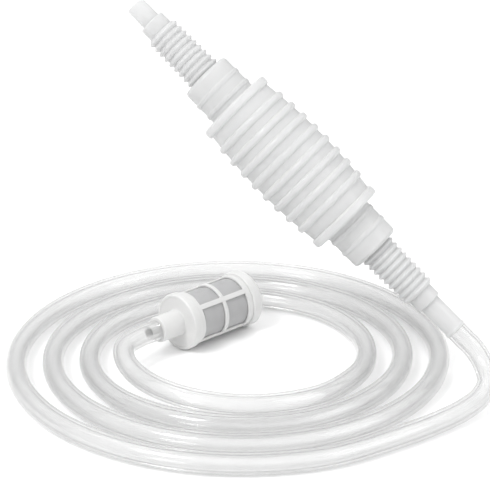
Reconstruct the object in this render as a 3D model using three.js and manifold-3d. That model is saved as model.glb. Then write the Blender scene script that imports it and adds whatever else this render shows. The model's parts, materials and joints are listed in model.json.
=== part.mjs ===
// Hand siphon: a ribbed squeeze bulb with a check valve at each end, a coiled hose and a strainer.
// Millimetres, +Z up, floor at z = 0. Origin under the middle of the pump and strainer.
import * as THREE from 'three';
import Module from 'manifold-3d';
import { mergeVertices } from 'three/addons/utils/BufferGeometryUtils.js';

// ---- driving dimensions ----
const GAP = 0.3;                  // clearance between touching pieces
const COIL_X = -27.1;             // centre of the hose coil
const COIL_Y = -13.8;

// hose
const HOSE_R = 5;
const HOSE_SIDES = 10;
const HOSE_STEPS = 80;
const COIL_START_R = 113.4;       // radius where the coil begins, on the right
const COIL_PITCH = 17.3;          // radius lost in each turn
const COIL_FIRST_TURN = 0.14;
const COIL_LAST_TURN = 3.0;
const POINTS_PER_TURN = 16;

// pump, with lengths along its axis, from the hose end
const PUMP_FOOT = [101, -22, 27];               // hose end of the sleeve, from the coil's centre
const PUMP_AXIS = new THREE.Vector3(-0.703, 0.2607, 0.6617).normalize();
const SLEEVE_LENGTH = 17.8;
const TUBE_IN_COLLAR = 5;
const COLLAR_LENGTH = 6.4;
const NECK_LENGTH = 28.4;
const CHAMBER_LENGTH = 18.8;
const BULB_LENGTH = 74.8;
const SPOUT_LENGTH = 10.8;
const BULB_LIP = 4.4;             // part of the bulb that is rigid with each chamber

const SLEEVE_R = 5;
const SPOUT_R = 4.6;
const TUBE_BORE_R = 3.4;
const COLLAR_R = 6.3;
const WALL = 0.9;
const CHAMBER_R = 12.4;
const CHAMBER_RIDGE = 0.5;
const BULB_END_R = 18.8;
const BULB_VALLEY_R = 19.5;       // at the middle of the barrel
const BULB_BARREL_DROP = 0.0019;  // valley radius lost per square millimetre from the middle
const BULB_RIB_HEIGHT = 1.45;
const BULB_RIBS = 8;
const BULB_RIB_PITCH = 7.3;
const BULB_RIB_WIDTH = 3.2;
const NECK_RIBS = 9;
const NECK_RIB_HEIGHT = 1.4;
const NECK_BODY_R = 7.6;          // valley radius beside the chamber
const NECK_TIP_R = 6.9;           // valley radius beside the collar

// check valves
const SEAT_R = CHAMBER_R - WALL - GAP;
const SEAT_THICKNESS = 2.5;
const SEAT_HOLE_R = 4.5;
const BALL_R = 6;
const BALL_LIFT = 3;
const KEEPER_THICKNESS = 1.6;
const KEEPER_RIM = 1.8;
const KEEPER_ARM = 2.4;

// strainer, with lengths along its axis, from the front face of its cap
const STRAINER_FOOT = [-29, 14.9];
const STRAINER_AXIS = new THREE.Vector3(0.73, 0.6834, 0).normalize();
const CAP_R = 14;
const CAP_THICKNESS = 4;
const CAP_NECK_R = 6.3;
const CAP_NECK_LENGTH = 13;
const CAP_PLUG_LENGTH = 4;
const CAGE_R = 13.2;
const CAGE_WALL = 1.2;
const CAGE_LENGTH = 34;
const CAGE_END_RING = 3;
const CAGE_MIDDLE_RING = 2;
const CAGE_BAR = 2.6;
const CAGE_BARS = 4;
const MESH_WALL = 0.4;
const REAR_CAP_THICKNESS = 6.2;

// ---- stations along the pump ----
const S_COLLAR_IN = SLEEVE_LENGTH;
const S_NECK_IN = S_COLLAR_IN + COLLAR_LENGTH;
const S_CHAMBER_IN = S_NECK_IN + NECK_LENGTH;
const S_BULB = S_CHAMBER_IN + CHAMBER_LENGTH;
const S_BULB_MIDDLE = S_BULB + BULB_LENGTH / 2;
const S_BULB_END = S_BULB + BULB_LENGTH;
const S_NECK_OUT = S_BULB_END + CHAMBER_LENGTH;
const S_COLLAR_OUT = S_NECK_OUT + NECK_LENGTH;
const S_SPOUT = S_COLLAR_OUT + COLLAR_LENGTH;

// ---- materials ----
const material = (color, roughness) => new THREE.MeshStandardMaterial({ color, roughness, metalness: 0 });
const LDPE = material(0xdcdedd, 0.4);
const WHITE_PLASTIC = material(0xf2f2f0, 0.45);
const HOSE_CLEAR = material(0xe4e6e6, 0.2);
const MESH_GREY = material(0xbcbcbc, 0.6);
const BALL_WHITE = material(0xf0f0ee, 0.35);

// ---- helpers ----
// A ring turned about +Z from an anticlockwise outline of [radius, height] points.
function turned(outline, segments) {
  const points = [...outline, outline[0]].map(([r, z]) => new THREE.Vector2(r, z));
  return new THREE.LatheGeometry(points, segments).rotateX(Math.PI / 2);
}

function toManifold(wasm, geometry) {
  const plain = geometry.clone();
  plain.deleteAttribute('normal');
  plain.deleteAttribute('uv');
  const merged = mergeVertices(plain, 1e-4);
  return new wasm.Manifold(new wasm.Mesh({
    numProp: 3,
    vertProperties: new Float32Array(merged.attributes.position.array),
    triVerts: new Uint32Array(merged.index.array),
  }));
}

function fromManifold(manifold) {
  const mesh = manifold.getMesh();
  const geometry = new THREE.BufferGeometry();
  geometry.setAttribute('position', new THREE.BufferAttribute(mesh.vertProperties, 3));
  geometry.setIndex(new THREE.BufferAttribute(mesh.triVerts, 1));
  return geometry;
}

function add(group, name, geometry, skin) {
  const mesh = new THREE.Mesh(geometry, skin);
  mesh.name = name;
  group.add(mesh);
}

function axisGroup(foot, axis) {
  const group = new THREE.Group();
  group.position.set(...foot);
  group.quaternion.setFromUnitVectors(new THREE.Vector3(0, 0, 1), axis);
  return group;
}

const tube = (outer, inner, from, to, segments = 20) =>
  turned([[inner, from], [outer, from], [outer, to], [inner, to]], segments);

// ---- pump shell ----
// Half of the shell is described from its collar towards the bulb; `dir` mirrors it for the outlet.
function chamber(from, dir) {
  const at = (d) => from + dir * d;
  const bulbEnd = CHAMBER_LENGTH + BULB_LIP;
  const outer = [
    [NECK_BODY_R, 0], [CHAMBER_R - 1.6, 0], [CHAMBER_R, 1.6],
    [CHAMBER_R, 7.6], [CHAMBER_R + CHAMBER_RIDGE, 8.1], [CHAMBER_R + CHAMBER_RIDGE, 9.3], [CHAMBER_R, 9.8],
    [CHAMBER_R, 14.4], [CHAMBER_R + CHAMBER_RIDGE, 14.9], [CHAMBER_R + CHAMBER_RIDGE, 16.1], [CHAMBER_R, 16.6],
    [CHAMBER_R, CHAMBER_LENGTH], [BULB_END_R - 1.2, CHAMBER_LENGTH], [BULB_END_R, CHAMBER_LENGTH + 1.2],
    [BULB_END_R, bulbEnd - 1], [BULB_END_R - 1.2, bulbEnd],
  ];
  const inner = [
    [BULB_END_R - 1.2 - WALL, bulbEnd], [BULB_END_R - 1.2 - WALL, CHAMBER_LENGTH + WALL],
    [CHAMBER_R - WALL, CHAMBER_LENGTH + WALL], [CHAMBER_R - WALL, WALL + 0.8],
    [CHAMBER_R - WALL - 0.8, WALL], [NECK_BODY_R - WALL, WALL], [NECK_BODY_R - WALL, 0],
  ];
  const outline = [...outer, ...inner].map(([r, d]) => [r, at(d)]);
  return turned(dir > 0 ? outline : outline.reverse(), 20);
}

function neck(from, to, startR, endR) {
  const outer = [];
  const inner = [];
  const pitch = (to - from) / NECK_RIBS;
  for (let i = 0; i < NECK_RIBS; i += 1) {
    const z = from + i * pitch;
    const valley = startR + (endR - startR) * (i / NECK_RIBS);
    outer.push([valley, z], [valley + NECK_RIB_HEIGHT, z + 0.4 * pitch], [valley + NECK_RIB_HEIGHT, z + 0.6 * pitch]);
    inner.push([valley - WALL, z], [valley - WALL + NECK_RIB_HEIGHT, z + 0.5 * pitch]);
  }
  outer.push([endR, to]);
  inner.push([endR - WALL, to]);
  return turned([...outer, ...inner.reverse()], 12);
}

const valleyRadius = (s) => BULB_VALLEY_R - BULB_BARREL_DROP * (s - S_BULB_MIDDLE) ** 2;

function bulb() {
  const from = S_BULB + BULB_LIP + GAP;
  const to = S_BULB_END - BULB_LIP - GAP;
  const outer = [[valleyRadius(from), from]];
  const inner = [[valleyRadius(from) - WALL, from]];
  for (let i = 0; i < BULB_RIBS; i += 1) {
    const s = S_BULB_MIDDLE + (i - (BULB_RIBS - 1) / 2) * BULB_RIB_PITCH;
    const valley = valleyRadius(s);
    const half = BULB_RIB_WIDTH / 2;
    const crest = valley + BULB_RIB_HEIGHT;
    outer.push([valley, s - half], [crest, s - half / 2], [crest, s + half / 2], [valley, s + half]);
    inner.push([valley - WALL, s - half], [crest - WALL, s], [valley - WALL, s + half]);
  }
  outer.push([valleyRadius(to), to]);
  inner.push([valleyRadius(to) - WALL, to]);
  return turned([...outer, ...inner.reverse()], 20);
}

// ---- check valve ----
// The seat lies towards the hose, the ball rests on it and the keeper stops its lift.
function keeper(z) {
  const disc = new THREE.Shape().absarc(0, 0, SEAT_R, 0, 2 * Math.PI);
  const reach = SEAT_R - KEEPER_RIM;
  const side = KEEPER_ARM / 2;
  const hub = 3;
  for (let i = 0; i < 4; i += 1) {
    const turn = i * Math.PI / 2;
    const edge = Math.asin(side / reach);
    const hubEdge = Math.asin(side / hub);
    const window = new THREE.Path();
    window.absarc(0, 0, reach, turn + edge, turn + Math.PI / 2 - edge, false);
    window.absarc(0, 0, hub, turn + Math.PI / 2 - hubEdge, turn + hubEdge, true);
    window.closePath();
    disc.holes.push(window);
  }
  const plate = new THREE.ExtrudeGeometry(disc, { depth: KEEPER_THICKNESS, bevelEnabled: false, curveSegments: 5 });
  return plate.translate(0, 0, z);
}

function valve(pump, side, seatFrom) {
  const seatTop = seatFrom + SEAT_THICKNESS;
  const ballAt = seatTop + Math.sqrt((BALL_R + GAP) ** 2 - SEAT_HOLE_R ** 2);
  add(pump, `${side}_valve_seat`, tube(SEAT_R, SEAT_HOLE_R, seatFrom, seatTop), WHITE_PLASTIC);
  const ball = new THREE.SphereGeometry(BALL_R, 12, 8).rotateX(Math.PI / 2).translate(0, 0, ballAt);
  add(pump, `${side}_valve_ball`, ball, BALL_WHITE);
  add(pump, `${side}_valve_keeper`, keeper(ballAt + BALL_R + BALL_LIFT + GAP), WHITE_PLASTIC);
}

function makePump() {
  const pump = axisGroup(PUMP_FOOT, PUMP_AXIS);
  add(pump, 'inlet_sleeve', tube(SLEEVE_R, TUBE_BORE_R, 0, SLEEVE_LENGTH + TUBE_IN_COLLAR), LDPE);
  add(pump, 'inlet_collar', tube(COLLAR_R, SLEEVE_R + GAP, S_COLLAR_IN, S_NECK_IN - GAP), LDPE);
  add(pump, 'inlet_neck', neck(S_NECK_IN, S_CHAMBER_IN - GAP, NECK_TIP_R, NECK_BODY_R), LDPE);
  add(pump, 'inlet_chamber', chamber(S_CHAMBER_IN, 1), LDPE);
  add(pump, 'bulb', bulb(), LDPE);
  add(pump, 'outlet_chamber', chamber(S_NECK_OUT, -1), LDPE);
  add(pump, 'outlet_neck', neck(S_NECK_OUT + GAP, S_COLLAR_OUT, NECK_BODY_R, NECK_TIP_R), LDPE);
  add(pump, 'outlet_collar', tube(COLLAR_R, SPOUT_R + GAP, S_COLLAR_OUT + GAP, S_SPOUT), LDPE);
  add(pump, 'outlet_spout', tube(SPOUT_R, TUBE_BORE_R, S_SPOUT - TUBE_IN_COLLAR, S_SPOUT + SPOUT_LENGTH), LDPE);
  valve(pump, 'inlet', S_CHAMBER_IN + 2);
  valve(pump, 'outlet', S_BULB_END - 1);
  return pump;
}

// ---- strainer ----
function cage(wasm) {
  const from = CAP_THICKNESS + GAP;
  const to = from + CAGE_LENGTH;
  let body = toManifold(wasm, tube(CAGE_R, CAGE_R - CAGE_WALL, from, to, 24));
  const windowLength = (CAGE_LENGTH - 2 * CAGE_END_RING - CAGE_MIDDLE_RING) / 2;
  const chord = Math.SQRT2 * CAGE_R - CAGE_BAR * Math.SQRT2;
  for (let bar = 0; bar < CAGE_BARS; bar += 1) {
    for (const row of [0, 1]) {
      const z = from + CAGE_END_RING + windowLength / 2 + row * (windowLength + CAGE_MIDDLE_RING);
      const block = new THREE.BoxGeometry(CAGE_R, chord, windowLength)
        .translate(CAGE_R, 0, z)
        .rotateZ((bar + 0.5) * 2 * Math.PI / CAGE_BARS);
      body = body.subtract(toManifold(wasm, block));
    }
  }
  return fromManifold(body);
}

function makeStrainer(wasm) {
  const strainer = axisGroup([...STRAINER_FOOT, CAP_R], STRAINER_AXIS);
  const plugR = CAGE_R - CAGE_WALL - GAP;
  const frontCap = turned([
    [TUBE_BORE_R, -CAP_NECK_LENGTH], [CAP_NECK_R, -CAP_NECK_LENGTH], [CAP_NECK_R, 0], [CAP_R - 1, 0],
    [CAP_R, 1], [CAP_R, CAP_THICKNESS], [plugR, CAP_THICKNESS], [plugR, CAP_THICKNESS + CAP_PLUG_LENGTH],
    [plugR - WALL, CAP_THICKNESS + CAP_PLUG_LENGTH], [plugR - WALL, 2], [TUBE_BORE_R, 2],
  ], 24);
  const cageEnd = CAP_THICKNESS + GAP + CAGE_LENGTH;
  const rearFace = cageEnd + GAP + REAR_CAP_THICKNESS;
  const rearCap = turned([
    [0, cageEnd + GAP + 2], [plugR - 1, cageEnd + GAP + 2], [plugR - 1, cageEnd + GAP],
    [CAP_R, cageEnd + GAP], [CAP_R, rearFace - 2], [CAP_R - 2, rearFace], [0, rearFace],
  ], 24);
  const meshStart = CAP_THICKNESS + CAP_PLUG_LENGTH + GAP;
  add(strainer, 'filter_front_cap', frontCap, WHITE_PLASTIC);
  add(strainer, 'filter_cage', cage(wasm), WHITE_PLASTIC);
  add(strainer, 'filter_mesh', tube(plugR, plugR - MESH_WALL, meshStart, cageEnd, 24), MESH_GREY);
  add(strainer, 'filter_rear_cap', rearCap, WHITE_PLASTIC);
  return strainer;
}

// ---- hose ----
function hoseRoute() {
  const route = [
    [101.2, -22.1, 26.8], [105.1, -23.6, 23.1], [109.4, -25.6, 19.1], [113.2, -31, 13.8], [114.2, -40.5, 9.6],
    [109.8, -51, 7.2], [101, -61, 5.7], [91, -69.6, 5.1],
  ];
  for (let turn = COIL_FIRST_TURN; turn < COIL_LAST_TURN; turn += 1 / POINTS_PER_TURN) {
    const radius = COIL_START_R - COIL_PITCH * turn;
    const angle = 0.05 - 2 * Math.PI * turn;
    route.push([radius * Math.cos(angle), radius * Math.sin(angle), HOSE_R]);
  }
  route.push(
    [61.5, 1.5, 5.1], [58.5, -18, 5.5], [50.4, -34, 6.2], [38, -48.5, 6.9], [20.9, -58, 7.8], [3, -62, 8.7],
    [-16, -59.8, 9.8], [-32, -52.5, 11], [-44, -41, 12], [-51.5, -26, 13], [-52.6, -11.5, 13.7], [-46.8, -2.2, 14],
    [-38.8, 5.7, 14],
  );
  return new THREE.CatmullRomCurve3(route.map((p) => new THREE.Vector3(...p)), false, 'centripetal');
}

function makeHose() {
  const section = new THREE.Shape();
  for (let i = 0; i < HOSE_SIDES; i += 1) {
    const angle = 2 * Math.PI * i / HOSE_SIDES;
    section[i ? 'lineTo' : 'moveTo'](HOSE_R * Math.cos(angle), HOSE_R * Math.sin(angle));
  }
  section.closePath();
  return new THREE.ExtrudeGeometry(section, { steps: HOSE_STEPS, extrudePath: hoseRoute() });
}

// ---- the whole object ----
const wasm = await Module();
wasm.setup();
const siphon = new THREE.Group();
siphon.position.set(COIL_X, COIL_Y, 0);
siphon.add(makePump());
siphon.add(makeStrainer(wasm));
const hoseGroup = new THREE.Group();
add(hoseGroup, 'hose', makeHose(), HOSE_CLEAR);
siphon.add(hoseGroup);

export default siphon;
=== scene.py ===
"""Looks of the hand siphon: frosted ribbed pump, clear coiled hose and mesh strainer. Metres, row frame."""

import json
import math

import bmesh
import bpy
import numpy as np
from mathutils import Matrix, Vector


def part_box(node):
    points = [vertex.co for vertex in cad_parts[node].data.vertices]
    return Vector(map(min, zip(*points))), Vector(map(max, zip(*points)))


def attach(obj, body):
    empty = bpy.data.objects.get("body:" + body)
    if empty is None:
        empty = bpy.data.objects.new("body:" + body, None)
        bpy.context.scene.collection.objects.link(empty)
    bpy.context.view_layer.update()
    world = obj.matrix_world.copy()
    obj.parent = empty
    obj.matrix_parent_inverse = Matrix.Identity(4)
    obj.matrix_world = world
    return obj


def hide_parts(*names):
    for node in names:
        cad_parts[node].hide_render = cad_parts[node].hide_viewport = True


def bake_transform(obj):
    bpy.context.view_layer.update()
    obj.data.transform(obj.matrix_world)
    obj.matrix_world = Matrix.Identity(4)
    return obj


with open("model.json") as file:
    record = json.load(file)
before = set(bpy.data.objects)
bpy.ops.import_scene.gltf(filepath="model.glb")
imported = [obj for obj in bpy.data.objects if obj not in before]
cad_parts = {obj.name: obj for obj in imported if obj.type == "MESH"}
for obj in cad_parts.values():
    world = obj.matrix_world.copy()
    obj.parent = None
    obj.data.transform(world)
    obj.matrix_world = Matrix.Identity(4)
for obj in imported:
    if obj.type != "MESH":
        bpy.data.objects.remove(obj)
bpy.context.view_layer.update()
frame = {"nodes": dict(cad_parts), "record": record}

MM = 0.001
SEGMENTS = 96
HOSE_SIDES = 24
HOSE_RINGS_PER_POINT = 8


# ---- camera, fitted to the photo's coil ----
camera_data = bpy.data.cameras.new("camera")
camera_data.sensor_width = 36
camera_data.lens = 137
camera = bpy.data.objects.new("camera", camera_data)
camera.location = (-0.0235, -0.8173, 0.3897)
camera.rotation_euler = (math.radians(67.85), 0, 0)
bpy.context.scene.collection.objects.link(camera)
bpy.context.scene.camera = camera


# ---- hose route, the same points as part.mjs ----
COIL_CENTRE = np.array([-27.1, -13.8, 0]) * MM
HOSE_R = 5 * MM
HOSE_BORE_R = 3.7 * MM
COIL_START_R = 113.4
COIL_PITCH = 17.3
COIL_FIRST_TURN = 0.14
COIL_LAST_TURN = 3.0
POINTS_PER_TURN = 16
LEAD_IN = [
    (101.2, -22.1, 26.8), (105.1, -23.6, 23.1), (109.4, -25.6, 19.1), (113.2, -31, 13.8),
    (114.2, -40.5, 9.6), (109.8, -51, 7.2), (101, -61, 5.7), (91, -69.6, 5.1),
]
LEAD_OUT = [
    (61.5, 1.5, 5.1), (58.5, -18, 5.5), (50.4, -34, 6.2), (38, -48.5, 6.9), (20.9, -58, 7.8), (3, -62, 8.7),
    (-16, -59.8, 9.8), (-32, -52.5, 11), (-44, -41, 12), (-51.5, -26, 13), (-52.6, -11.5, 13.7),
    (-46.8, -2.2, 14), (-38.8, 5.7, 14),
]


def hose_points():
    """The route's points: off the pump, round the coil and up to the strainer."""
    points = list(LEAD_IN)
    turn = COIL_FIRST_TURN
    while turn < COIL_LAST_TURN:
        radius = COIL_START_R - COIL_PITCH * turn
        angle = 0.05 - 2 * math.pi * turn
        points.append((radius * math.cos(angle), radius * math.sin(angle), 5))
        turn += 1 / POINTS_PER_TURN
    return np.array(points + LEAD_OUT) * MM + COIL_CENTRE


def centripetal(points, steps):
    """A smooth curve through the points: centripetal Catmull-Rom, as in the CAD model."""
    ends = [2 * points[0] - points[1], *points, 2 * points[-1] - points[-2]]
    line = []
    for a, b, c, d in zip(ends, ends[1:], ends[2:], ends[3:]):
        t0, t1, t2 = (max(math.sqrt(np.linalg.norm(q - p)), 1e-4) for p, q in ((a, b), (b, c), (c, d)))
        m1 = ((b - a) / t0 - (c - a) / (t0 + t1) + (c - b) / t1) * t1
        m2 = ((c - b) / t1 - (d - b) / (t1 + t2) + (d - c) / t2) * t1
        for i in range(steps):
            t = i / steps
            line.append(
                (2 * t**3 - 3 * t**2 + 1) * b + (t**3 - 2 * t**2 + t) * m1
                + (3 * t**2 - 2 * t**3) * c + (t**3 - t**2) * m2
            )
    return np.array(line + [points[-1]])


# ---- mesh helpers ----
SHARP_ANGLE = math.radians(40)


def new_piece(name, verts, faces, material):
    """A smooth-shaded mesh object, with the edges sharper than SHARP_ANGLE kept sharp."""
    mesh = bpy.data.meshes.new(name)
    mesh.from_pydata([tuple(v) for v in verts], [], faces)
    mesh.update()
    bm = bmesh.new()
    bm.from_mesh(mesh)
    bmesh.ops.recalc_face_normals(bm, faces=bm.faces)
    for edge in bm.edges:
        if len(edge.link_faces) == 2 and edge.calc_face_angle(0) > SHARP_ANGLE:
            edge.smooth = False
    for face in bm.faces:
        face.smooth = True
    bm.to_mesh(mesh)
    bm.free()
    mesh.materials.append(material)
    obj = bpy.data.objects.new(name, mesh)
    bpy.context.scene.collection.objects.link(obj)
    return obj


def rounded(outline, radius, steps=4):
    """The closed outline with each corner replaced by an arc; a short side takes a smaller one."""
    out = []
    points = [np.array(p, float) for p in outline]
    count = len(points)
    for i, p in enumerate(points):
        a, b = points[i - 1] - p, points[(i + 1) % count] - p
        la, lb = np.linalg.norm(a), np.linalg.norm(b)
        reach = min(radius, 0.45 * la, 0.45 * lb)
        start, end = p + a / la * reach, p + b / lb * reach
        for k in range(steps + 1):
            t = k / steps
            out.append(tuple((1 - t) ** 2 * start + 2 * t * (1 - t) * p + t * t * end))
    return out


def axis_matrix(foot, axis):
    turn = Vector((0, 0, 1)).rotation_difference(Vector(axis).normalized())
    return Matrix.Translation(Vector(foot)) @ turn.to_matrix().to_4x4()


def revolve(name, outline, place, material, segments=None):
    """A ring or solid of revolution from a closed outline of (radius, height) in millimetres."""
    segments = segments or SEGMENTS
    verts, rows = [], []
    for r, z in outline:
        if r < 1e-6:
            rows.append([len(verts)] * segments)
            verts.append(place @ Vector((0, 0, z * MM)))
            continue
        rows.append(list(range(len(verts), len(verts) + segments)))
        for k in range(segments):
            angle = 2 * math.pi * k / segments
            verts.append(place @ Vector((r * MM * math.cos(angle), r * MM * math.sin(angle), z * MM)))
    faces = []
    for i, row in enumerate(rows):
        after = rows[(i + 1) % len(rows)]
        for k in range(segments):
            n = (k + 1) % segments
            face = list(dict.fromkeys((row[k], row[n], after[n], after[k])))
            if len(face) > 2:
                faces.append(face)
    return new_piece(name, verts, faces, material)


def dress(obj, body, slot, *nodes):
    """Puts a rigid piece on its body, in place of its CAD nodes; the slot argument is not used."""
    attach(obj, body)
    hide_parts(*nodes)
    return obj


# ---- materials ----
def shader(name, colour, shade, **sockets):
    """A procedural plastic: cloudy colour, a fine grain in the relief and uneven gloss."""
    material = bpy.data.materials.new(name)
    material.use_nodes = True
    nodes, links = material.node_tree.nodes, material.node_tree.links
    bsdf = nodes["Principled BSDF"]
    for socket, value in sockets.items():
        if socket not in ("grain", "grain_scale", "cloud_scale", "gloss"):
            bsdf.inputs[socket.replace("_", " ")].default_value = value
    place = nodes.new("ShaderNodeTexCoord").outputs["Object"]

    cloud = nodes.new("ShaderNodeTexNoise")
    cloud.inputs["Scale"].default_value = sockets.get("cloud_scale", 60)
    cloud.inputs["Detail"].default_value = 4
    links.new(place, cloud.inputs["Vector"])
    ramp = nodes.new("ShaderNodeValToRGB")
    ramp.color_ramp.elements[0].position = 0.35
    ramp.color_ramp.elements[0].color = (*shade, 1)
    ramp.color_ramp.elements[1].position = 0.65
    ramp.color_ramp.elements[1].color = (*colour, 1)
    links.new(cloud.outputs["Fac"], ramp.inputs["Fac"])
    links.new(ramp.outputs["Color"], bsdf.inputs["Base Color"])

    low, high = sockets.get("gloss", (0.3, 0.45))
    smear = nodes.new("ShaderNodeTexNoise")
    smear.inputs["Scale"].default_value = 220
    smear.inputs["Detail"].default_value = 5
    smear.inputs["Distortion"].default_value = 0.6
    links.new(place, smear.inputs["Vector"])
    spread = nodes.new("ShaderNodeMapRange")
    spread.inputs["From Min"].default_value = 0.3
    spread.inputs["From Max"].default_value = 0.7
    spread.inputs["To Min"].default_value = low
    spread.inputs["To Max"].default_value = high
    links.new(smear.outputs["Fac"], spread.inputs["Value"])
    links.new(spread.outputs["Result"], bsdf.inputs["Roughness"])

    grain = nodes.new("ShaderNodeTexNoise")
    grain.inputs["Scale"].default_value = sockets.get("grain_scale", 900)
    grain.inputs["Detail"].default_value = 3
    links.new(place, grain.inputs["Vector"])
    bump = nodes.new("ShaderNodeBump")
    bump.inputs["Strength"].default_value = sockets.get("grain", 0.15)
    bump.inputs["Distance"].default_value = 0.0002
    links.new(grain.outputs["Fac"], bump.inputs["Height"])
    links.new(bump.outputs["Normal"], bsdf.inputs["Normal"])
    return material


INNER_LOSS = 0.63    # share of the reflections inside the clear wall that its haze swallows


def see_through(material, middle, rim):
    """Clear plastic: what is behind shows more through its middle than its rim, under a glossy surface."""
    nodes, links = material.node_tree.nodes, material.node_tree.links
    weight = nodes.new("ShaderNodeLayerWeight")
    weight.inputs["Blend"].default_value = 0.5
    spread = nodes.new("ShaderNodeMapRange")
    spread.interpolation_type = "SMOOTHSTEP"
    spread.inputs["From Min"].default_value = 0.45
    spread.inputs["From Max"].default_value = 1
    spread.inputs["To Min"].default_value = middle
    spread.inputs["To Max"].default_value = rim
    links.new(weight.outputs["Facing"], spread.inputs["Value"])
    mix = nodes.new("ShaderNodeMixShader")
    links.new(spread.outputs["Result"], mix.inputs[0])
    links.new(nodes.new("ShaderNodeBsdfTransparent").outputs[0], mix.inputs[1])
    links.new(nodes["Principled BSDF"].outputs[0], mix.inputs[2])
    gloss = nodes.new("ShaderNodeBsdfGlossy")
    gloss.inputs["Color"].default_value = (0.95, 0.95, 0.95, 1)
    gloss.inputs["Roughness"].default_value = 0.12
    fresnel = nodes.new("ShaderNodeFresnel")
    fresnel.inputs["IOR"].default_value = 1.4
    outside = nodes.new("ShaderNodeMath")
    outside.operation = "MULTIPLY_ADD"
    outside.inputs[1].default_value = -INNER_LOSS
    outside.inputs[2].default_value = 1
    links.new(nodes.new("ShaderNodeNewGeometry").outputs["Backfacing"], outside.inputs[0])
    shine = nodes.new("ShaderNodeMath")
    shine.operation = "MULTIPLY"
    links.new(fresnel.outputs[0], shine.inputs[0])
    links.new(outside.outputs[0], shine.inputs[1])
    coated = nodes.new("ShaderNodeMixShader")
    links.new(shine.outputs[0], coated.inputs[0])
    links.new(mix.outputs[0], coated.inputs[1])
    links.new(gloss.outputs[0], coated.inputs[2])
    links.new(coated.outputs[0], nodes["Material Output"].inputs["Surface"])
    return material


def glowing_through(material, share, colour):
    """Mixes in a Translucent shader, for a wall thin enough to carry light through."""
    nodes, links = material.node_tree.nodes, material.node_tree.links
    through = nodes.new("ShaderNodeBsdfTranslucent")
    through.inputs["Color"].default_value = (*colour, 1)
    mix = nodes.new("ShaderNodeMixShader")
    mix.inputs[0].default_value = share
    links.new(nodes["Principled BSDF"].outputs[0], mix.inputs[1])
    links.new(through.outputs[0], mix.inputs[2])
    links.new(mix.outputs[0], nodes["Material Output"].inputs["Surface"])
    return material


frosted = glowing_through(shader(
    "frosted_ldpe", (0.8, 0.802, 0.802), (0.77, 0.772, 0.772), gloss=(0.14, 0.26), cloud_scale=45,
    grain=0.06, IOR=1.5,
), 0.5, (0.92, 0.922, 0.922))
white = shader(
    "white_plastic", (0.7, 0.7, 0.695), (0.66, 0.66, 0.655), gloss=(0.32, 0.5), cloud_scale=70, grain=0.1,
    IOR=1.5, Subsurface_Weight=0.15, Subsurface_Radius=(1, 1, 1), Subsurface_Scale=0.001,
)
clear = see_through(shader(
    "clear_hose", (0.64, 0.642, 0.642), (0.6, 0.602, 0.602), gloss=(0.1, 0.2), cloud_scale=30, grain=0.02,
    grain_scale=200, IOR=1.5,
), 0.15, 0.8)
ball_white = shader("ball_plastic", (0.85, 0.85, 0.84), (0.82, 0.82, 0.81), gloss=(0.15, 0.25), grain=0.05)


def woven(name):
    """Fine square weave, drawn along the piece's own UV map, with threads as relief and painted shade in the
    gaps between them.
    """
    material = bpy.data.materials.new(name)
    material.use_nodes = True
    nodes, links = material.node_tree.nodes, material.node_tree.links
    bsdf = nodes["Principled BSDF"]
    bsdf.inputs["Roughness"].default_value = 0.55
    place = nodes.new("ShaderNodeUVMap")
    place.uv_map = "weave"
    split = nodes.new("ShaderNodeSeparateXYZ")
    links.new(place.outputs["UV"], split.inputs["Vector"])
    waves = []
    for axis in ("X", "Y"):
        wave = nodes.new("ShaderNodeMath")
        wave.operation = "SINE"
        links.new(split.outputs[axis], wave.inputs[0])
        size = nodes.new("ShaderNodeMath")
        size.operation = "ABSOLUTE"
        links.new(wave.outputs[0], size.inputs[0])
        waves.append(size)
    thread = nodes.new("ShaderNodeMath")
    thread.operation = "MAXIMUM"
    links.new(waves[0].outputs[0], thread.inputs[0])
    links.new(waves[1].outputs[0], thread.inputs[1])
    dirt = nodes.new("ShaderNodeTexNoise")
    dirt.inputs["Scale"].default_value = 120
    links.new(nodes.new("ShaderNodeTexCoord").outputs["Object"], dirt.inputs["Vector"])
    # the ramp's dark end is painted shade in the weave's gaps, standing in for the shaded inside seen through
    # them; its light end is the threads' own grey
    ramp = nodes.new("ShaderNodeValToRGB")
    ramp.color_ramp.elements[0].position = 0.55
    ramp.color_ramp.elements[0].color = (0.24, 0.24, 0.245, 1)
    ramp.color_ramp.elements[1].position = 0.95
    ramp.color_ramp.elements[1].color = (0.62, 0.62, 0.625, 1)
    links.new(thread.outputs[0], ramp.inputs["Fac"])
    soil = nodes.new("ShaderNodeMix")
    soil.data_type = "RGBA"
    soil.blend_type = "MULTIPLY"
    soil.inputs["Factor"].default_value = 0.25
    links.new(ramp.outputs["Color"], soil.inputs["A"])
    links.new(dirt.outputs["Fac"], soil.inputs["B"])
    links.new(soil.outputs["Result"], bsdf.inputs["Base Color"])
    bump = nodes.new("ShaderNodeBump")
    bump.inputs["Strength"].default_value = 0.5
    bump.inputs["Distance"].default_value = 0.0002
    links.new(thread.outputs[0], bump.inputs["Height"])
    links.new(bump.outputs["Normal"], bsdf.inputs["Normal"])
    return material


mesh_grey = woven("woven_mesh")


# ---- pump: lengths along its axis from the hose end, in millimetres ----
mounts = {m["name"]: m for m in frame["record"]["mounts"]}
PUMP_AXIS = Vector(mounts["outlet_face"]["axis"]).normalized()
STRAINER_AXIS = Vector(mounts["strainer_face"]["axis"]).normalized()

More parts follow.
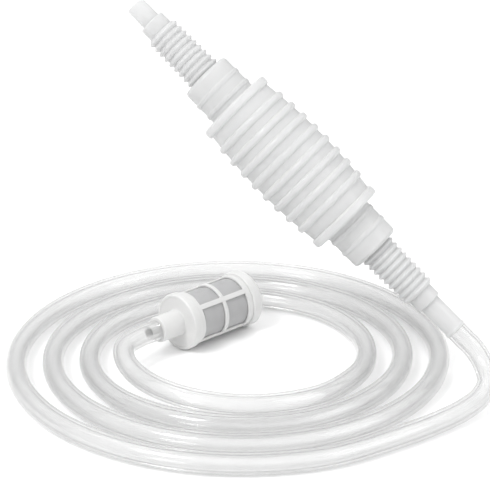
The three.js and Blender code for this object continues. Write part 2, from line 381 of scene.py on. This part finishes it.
CAD_GAP = 0.3        # clearance that the CAD model leaves between touching pieces
SLEEVE_END, COLLAR_LENGTH, NECK_LENGTH, CHAMBER_LENGTH = 17.8, 6.4, 28.4, 18.8
BULB_LENGTH, SPOUT_LENGTH, BULB_LIP, TUBE_IN_COLLAR = 74.8, 10.8, 4.4, 5
S_NECK_IN = SLEEVE_END + COLLAR_LENGTH
S_CHAMBER_IN = S_NECK_IN + NECK_LENGTH
S_BULB = S_CHAMBER_IN + CHAMBER_LENGTH
S_MIDDLE = S_BULB + BULB_LENGTH / 2
S_BULB_END = S_BULB + BULB_LENGTH
S_NECK_OUT = S_BULB_END + CHAMBER_LENGTH
S_COLLAR_OUT = S_NECK_OUT + NECK_LENGTH
S_SPOUT = S_COLLAR_OUT + COLLAR_LENGTH
S_TIP = S_SPOUT + SPOUT_LENGTH
SLEEVE_R, SPOUT_R, BORE_R, COLLAR_R, WALL = 5, 4.6, 3.4, 6.3, 0.9
FIT = 0.02           # gap between a tube and its collar
COLLAR_EDGE = 0.5    # rounding of the collars' edges
CHAMBER_R, RIDGE, SHOULDER_R, BULB_END_R = 12.4, 0.5, 1.9, 18.8
VALLEY_R, BARREL_DROP, RIB_HEIGHT = 19.5, 0.0019, 1.45
BULB_RIBS, BULB_RIB_PITCH, BULB_RIB_WIDTH = 8, 7.3, 3.6
NECK_RIBS, NECK_RIB_HEIGHT, NECK_BODY_R, NECK_TIP_R = 9, 1.4, 7.6, 6.9
NECK_STEPS_PER_RIB, BULB_STEPS = 10, 260

spout_low, spout_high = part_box("outlet_spout")
PUMP_FOOT = (spout_low + spout_high) / 2 - PUMP_AXIS * (S_SPOUT - TUBE_IN_COLLAR + S_TIP) / 2 * MM
pump_place = axis_matrix(PUMP_FOOT, PUMP_AXIS)


def chamber(name, start, way):
    """Round neck shoulder, two thin ridges, then the flat step up to the bulb's rim."""
    at = lambda d: start + way * d
    end = CHAMBER_LENGTH + BULB_LIP
    shoulder = [math.radians(15 * k) for k in range(1, 6)]
    outer = [(NECK_BODY_R, 0), (CHAMBER_R - SHOULDER_R, 0)]
    outer += [(CHAMBER_R - SHOULDER_R * (1 - math.sin(a)), SHOULDER_R * (1 - math.cos(a))) for a in shoulder]
    outer.append((CHAMBER_R, SHOULDER_R))
    for d in (7.4, 14.2):
        crest = CHAMBER_R + RIDGE
        outer += [(CHAMBER_R, d), (crest, d + 0.5), (crest, d + 2), (CHAMBER_R, d + 2.5)]
    outer += [
        (CHAMBER_R, CHAMBER_LENGTH), (BULB_END_R - 0.8, CHAMBER_LENGTH), (BULB_END_R, CHAMBER_LENGTH + 0.8),
        (BULB_END_R, end - 0.8), (BULB_END_R - 0.9, end),
    ]
    inner = [
        (BULB_END_R - 0.9 - WALL, end), (BULB_END_R - 0.9 - WALL, CHAMBER_LENGTH + WALL),
        (CHAMBER_R - WALL, CHAMBER_LENGTH + WALL), (CHAMBER_R - WALL, 2.4), (CHAMBER_R - WALL - 0.6, WALL),
        (NECK_BODY_R - WALL, WALL), (NECK_BODY_R - WALL, 0),
    ]
    return revolve(name, [(r, at(d)) for r, d in rounded(outer + inner, 1.3)], pump_place, frosted)


def neck(name, start, end, start_r, end_r):
    """A corrugated neck: nine rounded ribs, in a wall of one thickness."""
    steps = NECK_STEPS_PER_RIB * NECK_RIBS
    outer, inner = [], []
    for i in range(steps + 1):
        t = i / steps
        valley = start_r + (end_r - start_r) * t
        wave = 0.5 - 0.5 * math.cos(2 * math.pi * t * NECK_RIBS)
        crest = valley + NECK_RIB_HEIGHT * wave ** 0.8
        outer.append((crest, start + (end - start) * t))
        inner.append((crest - WALL, start + (end - start) * t))
    return revolve(name, outer + inner[::-1], pump_place, frosted)


def bulb(name):
    """A barrel with eight narrow, round-topped ribs and flat valleys between them."""
    start, end = S_BULB + BULB_LIP, S_BULB_END - BULB_LIP
    valley = lambda s: VALLEY_R - BARREL_DROP * (s - S_MIDDLE) ** 2
    outer = []
    for i in range(BULB_STEPS + 1):
        s = start + (end - start) * i / BULB_STEPS
        near = (s - S_MIDDLE) / BULB_RIB_PITCH + (BULB_RIBS - 1) / 2
        rib = min(max(round(near), 0), BULB_RIBS - 1)
        off = abs(near - rib) * BULB_RIB_PITCH / (BULB_RIB_WIDTH / 2)
        lift = RIB_HEIGHT * (1 - min(off, 1) ** 2.6) ** 0.6 if off < 1 else 0
        outer.append((valley(s) + lift, s))
    inner = [(r - WALL, s) for r, s in outer]
    return revolve(name, outer + inner[::-1], pump_place, frosted)


def tube(name, outer, inner, start, end, material, edge=0.35):
    """A plain ring on the pump's axis with softened edges."""
    outline = [(inner, start), (outer, start), (outer, end), (inner, end)]
    return revolve(name, rounded(outline, edge), pump_place, material)


sleeve = revolve("sleeve_skin", rounded([
    (BORE_R, 0), (SLEEVE_R, 0), (SLEEVE_R + 0.25, 0.3), (SLEEVE_R + 0.25, 1.2), (SLEEVE_R, 1.6),
    (SLEEVE_R, SLEEVE_END + TUBE_IN_COLLAR), (BORE_R, SLEEVE_END + TUBE_IN_COLLAR),
], 0.3), pump_place, frosted)
dress(sleeve, "base", "ldpe", "inlet_sleeve")
inlet_collar = tube("inlet_collar_skin", COLLAR_R, SLEEVE_R + FIT, SLEEVE_END, S_NECK_IN, frosted, COLLAR_EDGE)
dress(inlet_collar, "base", "ldpe", "inlet_collar")
inlet_neck = neck("inlet_neck_skin", S_NECK_IN, S_CHAMBER_IN, NECK_TIP_R, NECK_BODY_R)
dress(inlet_neck, "base", "ldpe", "inlet_neck")
dress(chamber("inlet_chamber_skin", S_CHAMBER_IN, 1), "base", "ldpe", "inlet_chamber")
dress(chamber("outlet_chamber_skin", S_NECK_OUT, -1), "outlet_end", "ldpe", "outlet_chamber")

bulb_skin = bulb("bulb_skin")
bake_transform(bulb_skin)
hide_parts("bulb")

neck_skin = neck("outlet_neck_skin", S_NECK_OUT, S_COLLAR_OUT, NECK_BODY_R, NECK_TIP_R)
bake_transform(neck_skin)
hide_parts("outlet_neck")

outlet_collar = tube("outlet_collar_skin", COLLAR_R, SPOUT_R + FIT, S_COLLAR_OUT, S_SPOUT, frosted, COLLAR_EDGE)
dress(outlet_collar, "spout", "ldpe", "outlet_collar")
spout = tube("spout_skin", SPOUT_R, BORE_R, S_SPOUT - TUBE_IN_COLLAR, S_TIP, frosted)
dress(spout, "spout", "ldpe", "outlet_spout")

# valves: the round pieces are made smooth, and the keepers stay as they are
SEAT_R, SEAT_HOLE_R, BALL_R, SEAT_THICKNESS = 11.2, 4.5, 6, 2.5
BALL_STEPS, BALL_SEGMENTS = 32, 48
for side, body, seat_body, seat in (
    ("inlet", "inlet_ball", "base", S_CHAMBER_IN + 2), ("outlet", "outlet_ball", "outlet_end", S_BULB_END - 1),
):
    ball_s = seat + SEAT_THICKNESS + math.sqrt((BALL_R + CAD_GAP) ** 2 - SEAT_HOLE_R ** 2)
    tilts = [math.pi * i / BALL_STEPS for i in range(BALL_STEPS + 1)]
    arc = [(BALL_R * math.sin(a), ball_s - BALL_R * math.cos(a)) for a in tilts]
    arc[0], arc[-1] = (0, ball_s - BALL_R), (0, ball_s + BALL_R)
    ball = revolve(f"{side}_ball_skin", arc, pump_place, ball_white, BALL_SEGMENTS)
    dress(ball, body, "ball", f"{side}_valve_ball")
    ring = tube(f"{side}_seat_skin", SEAT_R, SEAT_HOLE_R, seat, seat + SEAT_THICKNESS, white)
    dress(ring, seat_body, "white_plastic", f"{side}_valve_seat")
    frame["nodes"][f"{side}_valve_keeper"].data.materials[0] = white


# ---- strainer: lengths along its axis from the front face of its cap ----
CAP_R, CAP_THICKNESS, CAP_NECK_R, CAP_NECK, CAP_PLUG = 14, 4, 6.3, 13, 4
CAGE_R, CAGE_WALL, CAGE_LENGTH, CAGE_RING, CAGE_MIDDLE = 13.2, 1.2, 34, 3, 2
CAGE_BAR, CAGE_BARS, WINDOW_STEPS = 2.6, 4, 20
CAGE_FROM = CAP_THICKNESS
CAGE_TO = CAP_THICKNESS + CAD_GAP + CAGE_LENGTH
REAR_CAP_THICKNESS = 6.2
REAR_FACE = CAGE_TO + CAD_GAP + REAR_CAP_THICKNESS
PLUG_R = CAGE_R - CAGE_WALL - CAD_GAP
STRAINER_FOOT = Vector(mounts["strainer_face"]["pos_m"]) - STRAINER_AXIS * REAR_FACE * MM
strainer_place = axis_matrix(STRAINER_FOOT, STRAINER_AXIS)

# the spigot goes 5 mm into the hose's bore, and shows through the clear wall
SPIGOT_R, SPIGOT_LENGTH, SPIGOT_BORE_R = HOSE_BORE_R / MM - 0.05, 5, BORE_R - 0.6
front = revolve("front_cap_skin", rounded([
    (SPIGOT_BORE_R, -CAP_NECK - SPIGOT_LENGTH), (SPIGOT_R - 0.2, -CAP_NECK - SPIGOT_LENGTH),
    (SPIGOT_R, -CAP_NECK - 1), (SPIGOT_R, -CAP_NECK),
    (CAP_NECK_R, -CAP_NECK), (CAP_NECK_R, -0.4), (CAP_NECK_R + 0.8, 0),
    (CAP_R - 1.6, 0), (CAP_R - 1.5, -0.25), (CAP_R - 0.5, -0.25), (CAP_R, 0.4), (CAP_R, CAP_THICKNESS),
    (PLUG_R, CAP_THICKNESS), (PLUG_R, CAP_THICKNESS + CAP_PLUG), (PLUG_R - WALL, CAP_THICKNESS + CAP_PLUG),
    (PLUG_R - WALL, 2), (SPIGOT_BORE_R, 2),
], 0.5), strainer_place, white)
dress(front, "base", "white_plastic", "filter_front_cap")

rear = revolve("rear_cap_skin", rounded([
    (0, CAGE_TO + 2), (PLUG_R - 1, CAGE_TO + 2), (PLUG_R - 1, CAGE_TO), (CAP_R, CAGE_TO),
    (CAP_R, REAR_FACE - 1.6),
    (CAP_R - 1.6, REAR_FACE), (CAP_R - 3.2, REAR_FACE), (CAP_R - 3.6, REAR_FACE - 0.5), (0, REAR_FACE - 0.5),
], 0.9), strainer_place, white)
dress(rear, "strainer", "white_plastic", "filter_rear_cap")


def cage(name):
    """A barrel with windows: whole rings at the ends and the middle, and four bars between them."""
    half = CAGE_BAR / CAGE_R / 2
    columns = []
    for bar in range(CAGE_BARS):
        centre = 2 * math.pi * bar / CAGE_BARS
        columns += [centre - half, centre, centre + half]
        gap = 2 * math.pi / CAGE_BARS - 2 * half
        columns += [centre + half + gap * k / WINDOW_STEPS for k in range(1, WINDOW_STEPS)]
    window = (CAGE_TO - CAGE_FROM - 2 * CAGE_RING - CAGE_MIDDLE) / 2
    levels = [CAGE_FROM, CAGE_FROM + CAGE_RING]
    levels += [levels[1] + window, levels[1] + window + CAGE_MIDDLE, CAGE_TO - CAGE_RING, CAGE_TO]
    many, solid = len(columns), {}
    for row in range(5):
        for k in range(many):
            bar_column = k % (WINDOW_STEPS + 2) < 2
            solid[row, k] = row % 2 == 0 or bar_column
    verts, index = [], {}

    def corner(k, row, outside):
        key = (k % many, row, outside)
        if key not in index:
            index[key] = len(verts)
            r = (CAGE_R if outside else CAGE_R - CAGE_WALL) * MM
            angle = columns[k % many]
            verts.append(strainer_place @ Vector((r * math.cos(angle), r * math.sin(angle), levels[row] * MM)))
        return index[key]

    faces = []
    for (row, k), filled in solid.items():
        if not filled:
            continue
        for outside in (True, False):
            faces.append([corner(k, row, outside), corner(k + 1, row, outside),
                          corner(k + 1, row + 1, outside), corner(k, row + 1, outside)])
        for other, (a, b) in (
            ((row - 1, k), ((k, row), (k + 1, row))), ((row + 1, k), ((k, row + 1), (k + 1, row + 1))),
            ((row, (k - 1) % many), ((k, row), (k, row + 1))),
            ((row, (k + 1) % many), ((k + 1, row), (k + 1, row + 1))),
        ):
            if not solid.get(other, False):
                faces.append([corner(*a, True), corner(*b, True), corner(*b, False), corner(*a, False)])
    obj = new_piece(name, verts, faces, white)
    bevel = obj.modifiers.new("edges", "BEVEL")
    bevel.width = 0.35 * MM
    bevel.segments = 3
    bevel.limit_method = "ANGLE"
    bevel.angle_limit = math.radians(50)
    return obj


dress(cage("cage_skin"), "strainer", "white_plastic", "filter_cage")


MESH_R, THREAD_PITCH = 12, 0.5


def mesh_sleeve(name):
    """The woven sleeve inside the cage; its UV map counts threads, THREAD_PITCH apart."""
    start, end = CAP_THICKNESS + CAP_PLUG, CAGE_TO
    around, rows = 96, 40
    verts, faces = [], []
    for shell in (CAGE_R - CAGE_WALL - 0.05, CAGE_R - CAGE_WALL - 0.45):
        for j in range(rows + 1):
            for k in range(around):
                angle = 2 * math.pi * k / around
                sag = 0.12 * math.sin(4 * angle) ** 2 * math.sin(math.pi * j / rows)
                r = (shell - sag) * MM
                z = (start + (end - start) * j / rows) * MM
                verts.append(strainer_place @ Vector((r * math.cos(angle), r * math.sin(angle), z)))
    layer = (rows + 1) * around
    for base in (0, layer):
        for j in range(rows):
            for k in range(around):
                a = base + j * around + k
                b = base + j * around + (k + 1) % around
                faces.append([a, b, b + around, a + around])
    for j in (0, rows):
        for k in range(around):
            a, b = j * around + k, j * around + (k + 1) % around
            faces.append([a, b, b + layer, a + layer])
    obj = new_piece(name, verts, faces, mesh_grey)
    uv = obj.data.uv_layers.new(name="weave")
    back = strainer_place.inverted()
    per_metre = math.pi / (THREAD_PITCH * MM)
    for polygon in obj.data.polygons:
        local = [back @ obj.data.vertices[v].co for v in polygon.vertices]
        angles = [math.atan2(p.y, p.x) for p in local]
        if max(angles) - min(angles) > math.pi:
            angles = [a + 2 * math.pi if a < 0 else a for a in angles]
        for loop, p, angle in zip(polygon.loop_indices, local, angles):
            uv.data[loop].uv = (angle * MESH_R * MM * per_metre, p.z * per_metre)
    return obj


dress(mesh_sleeve("mesh_skin"), "strainer", "mesh", "filter_mesh")


# ---- hose ----
def hose(name):
    """The hose with its bore, and its centreline: rings swept along the route without twist."""
    line = centripetal(hose_points(), HOSE_RINGS_PER_POINT)
    around = HOSE_SIDES
    verts, faces = [], []
    side = None
    rings = []
    for i, p in enumerate(line):
        ahead = Vector(line[min(i + 1, len(line) - 1)] - line[max(i - 1, 0)]).normalized()
        if side is None:
            side = ahead.cross(Vector((0, 0, 1))).normalized()
        else:
            side = (side - ahead * side.dot(ahead)).normalized()
        up = side.cross(ahead)
        rings.append((Vector(p), side, up))
    for radius in (HOSE_R, HOSE_BORE_R):
        for centre, side, up in rings:
            for k in range(around):
                angle = 2 * math.pi * k / around
                verts.append(centre + side * radius * math.cos(angle) + up * radius * math.sin(angle))
    layer = len(rings) * around
    for base in (0, layer):
        for i in range(len(rings) - 1):
            for k in range(around):
                a, b = base + i * around + k, base + i * around + (k + 1) % around
                faces.append([a, b, b + around, a + around])
    for i in (0, len(rings) - 1):
        for k in range(around):
            a, b = i * around + k, i * around + (k + 1) % around
            faces.append([a, b, b + layer, a + layer])
    return new_piece(name, verts, faces, clear), line


hose_skin, hose_line = hose("hose_skin")
dress(hose_skin, "base", "hose", "hose")


# ---- floor, light and sky ----
floor_mesh = bpy.data.meshes.new("floor")
floor_mesh.from_pydata([(-6, -6, 0), (6, -6, 0), (6, 6, 0), (-6, 6, 0)], [], [(0, 1, 2, 3)])
floor = bpy.data.objects.new("floor", floor_mesh)
bpy.context.scene.collection.objects.link(floor)
floor_material = bpy.data.materials.new("floor")
floor_material.use_nodes = True
floor_material.node_tree.nodes["Principled BSDF"].inputs["Base Color"].default_value = (0.93, 0.93, 0.93, 1)
floor_material.node_tree.nodes["Principled BSDF"].inputs["Roughness"].default_value = 0.9
floor_mesh.materials.append(floor_material)

world = bpy.data.worlds.new("world")
bpy.context.scene.world = world
world.use_nodes = True
sky, sky_links = world.node_tree.nodes, world.node_tree.links
height = sky.new("ShaderNodeSeparateXYZ")
sky_links.new(sky.new("ShaderNodeTexCoord").outputs["Generated"], height.inputs[0])
dusk = sky.new("ShaderNodeValToRGB")
dusk.color_ramp.elements[0].position = 0.02
dusk.color_ramp.elements[0].color = (0.42, 0.42, 0.42, 1)
dusk.color_ramp.elements[1].position = 0.6
dusk.color_ramp.elements[1].color = (1, 1, 1, 1)
sky_links.new(height.outputs["Z"], dusk.inputs["Fac"])
sky_links.new(dusk.outputs["Color"], sky["Background"].inputs["Color"])
world.node_tree.nodes["Background"].inputs["Strength"].default_value = 1.15


def softbox(name, place, target, size, power):
    """A square area light at place, turned to the target."""
    data = bpy.data.lights.new(name, "AREA")
    data.shape = "SQUARE"
    data.size = size
    data.energy = power
    light = bpy.data.objects.new(name, data)
    light.location = place
    light.rotation_euler = (Vector(target) - Vector(place)).to_track_quat("-Z", "Y").to_euler()
    bpy.context.scene.collection.objects.link(light)


softbox("key", (-0.9, -0.8, 1.5), (0, 0, 0.05), 0.5, 14)
softbox("fill", (1.2, -0.6, 1.1), (0, 0, 0.05), 0.9, 5)

bpy.context.scene.view_settings.view_transform = "Standard"
